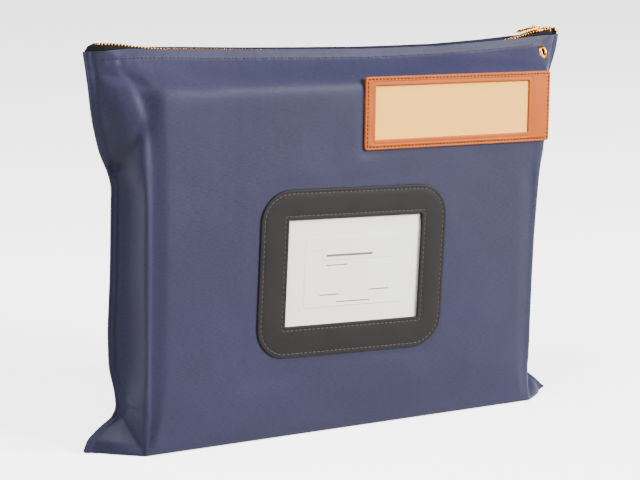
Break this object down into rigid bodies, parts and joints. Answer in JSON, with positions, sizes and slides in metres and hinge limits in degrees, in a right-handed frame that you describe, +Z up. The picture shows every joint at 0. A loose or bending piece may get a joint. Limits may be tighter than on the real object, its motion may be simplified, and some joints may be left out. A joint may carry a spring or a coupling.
{
  "type": "cash deposit bag",
  "caption": "Standing zipped cash bag in navy coated nylon with a flat base gusset, a card window, an upper label and brass seal eyelets.",
  "frame": {"origin": "on the floor under the centre of the base gusset", "axes": "+Z up, +X along the width towards the zip slider and the seal eyelets, the front with the window and the label faces -Y"},
  "size_m": [0.42, 0.0619, 0.3064],
  "materials": {
    "navy_nylon": "coated woven nylon, slight satin sheen, navy to slate blue",
    "navy_lining": "uncoated dark blue nylon",
    "zip_tape": "black woven tape",
    "zip_brass": "polished brass",
    "eyelet_brass": "polished brass, rolled",
    "tan_leatherette": "tan grained leatherette",
    "black_leatherette": "warm black, fine grain, low sheen",
    "clear_film": "clear flexible film, glossy",
    "yellow_card": "plain pale yellow card, matte",
    "white_card": "white card with ruled lines, matte",
    "brown_thread": "dark brown sewing thread",
    "grey_thread": "grey sewing thread",
    "navy_thread": "navy sewing thread"
  },
  "bodies": {
    "bag": {"back_panel": "navy_nylon", "base_gusset": "navy_nylon", "zip_tape_back": "zip_tape", "zip_teeth_back": "zip_brass", "zip_bottom_stop": "zip_brass", "zip_top_stop_back": "zip_brass", "back_eyelet": "eyelet_brass", "back_eyelet_washer": "eyelet_brass", "back_hem_stitching": "navy_thread"},
    "front_wall": {"front_panel": "navy_nylon", "zip_tape_front": "zip_tape", "zip_teeth_front": "zip_brass", "zip_top_stop_front": "zip_brass", "front_eyelet": "eyelet_brass", "front_eyelet_washer": "eyelet_brass", "label_frame": "tan_leatherette", "label_film": "clear_film", "label_card": "yellow_card", "window_frame": "black_leatherette", "window_film": "clear_film", "address_card": "white_card", "card_pocket_lining": "navy_lining", "label_stitching": "brown_thread", "window_outer_stitching": "grey_thread", "window_inner_stitching": "grey_thread", "front_hem_stitching": "navy_thread"},
    "slider": {"zip_slider": "zip_brass"},
    "pull_tab": {"zip_pull_tab": "zip_brass"}
  },
  "joints": [
    {"name": "mouth_open", "type": "hinge", "parent": "bag", "child": "front_wall", "pos_m": [0, -0.03, 0], "axis": [1, 0, 0], "range_deg": [0, 9.5], "deforming": ["zip_tape_front", "zip_teeth_front"]},
    {"name": "zip_slide", "type": "slide", "parent": "bag", "child": "slider", "axis": [-1, 0, 0], "range_m": [-0.0105, 0.379], "deforming": ["zip_tape_front", "zip_teeth_front", "zip_tape_back", "zip_teeth_back"]},
    {"name": "pull_tab_hinge", "type": "hinge", "parent": "slider", "child": "pull_tab", "pos_m": [0.188, 0, 0.30465], "axis": [0, 1, 0], "range_deg": [0, 183]}
  ]
}
